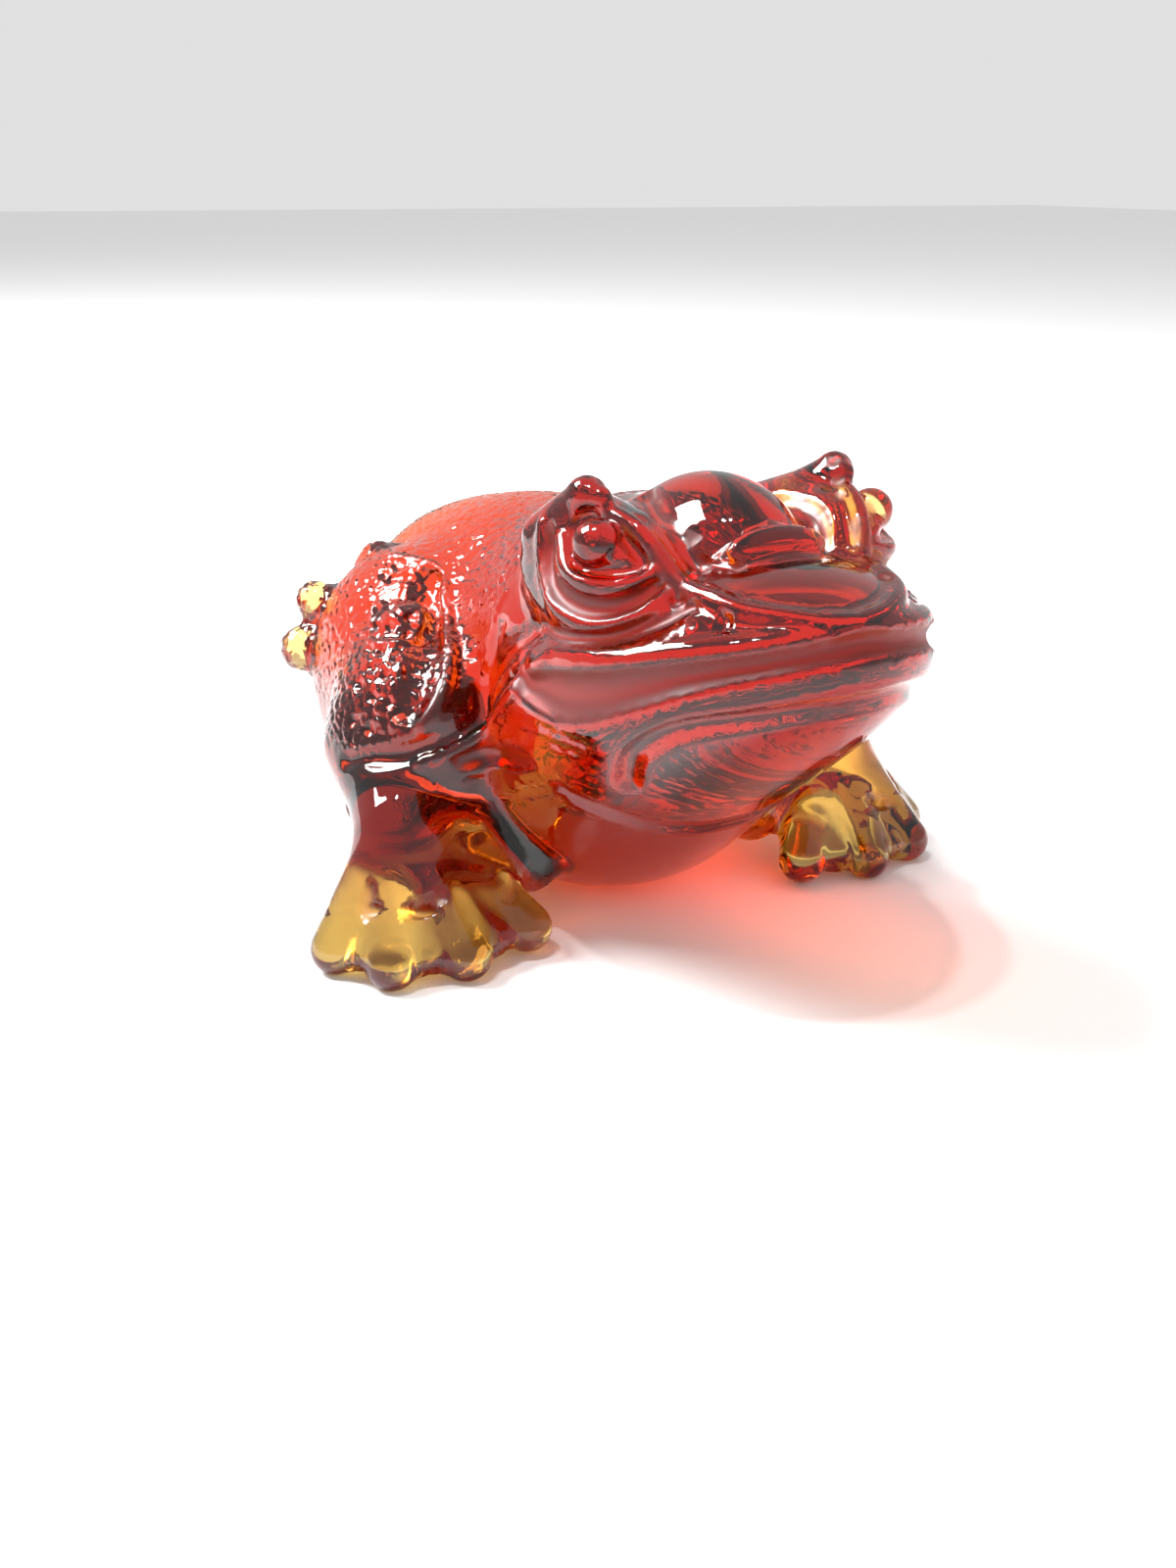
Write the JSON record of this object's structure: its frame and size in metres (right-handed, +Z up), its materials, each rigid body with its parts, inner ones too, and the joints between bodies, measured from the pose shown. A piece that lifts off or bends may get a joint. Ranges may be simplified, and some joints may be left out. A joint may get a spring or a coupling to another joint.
{
  "type": "amber frog carving",
  "caption": "A crouching frog carved from a lump of clear orange-brown amber, with peaked brows, nested eye folds, a wide frosted mouth line and webbed front feet.",
  "frame": {"origin": "on the ground plane under the middle of the bounding box; the belly and the feet rest on z = 0", "axes": "+Z up, -Y the way the frog looks, +X its left side"},
  "size_m": [0.0618, 0.0723, 0.0397],
  "materials": {
    "amber": "clear orange-brown amber, polished on the open forms and frosted in the carved grooves"
  },
  "bodies": {
    "root": {"frog_carving": "amber"}
  },
  "joints": []
}
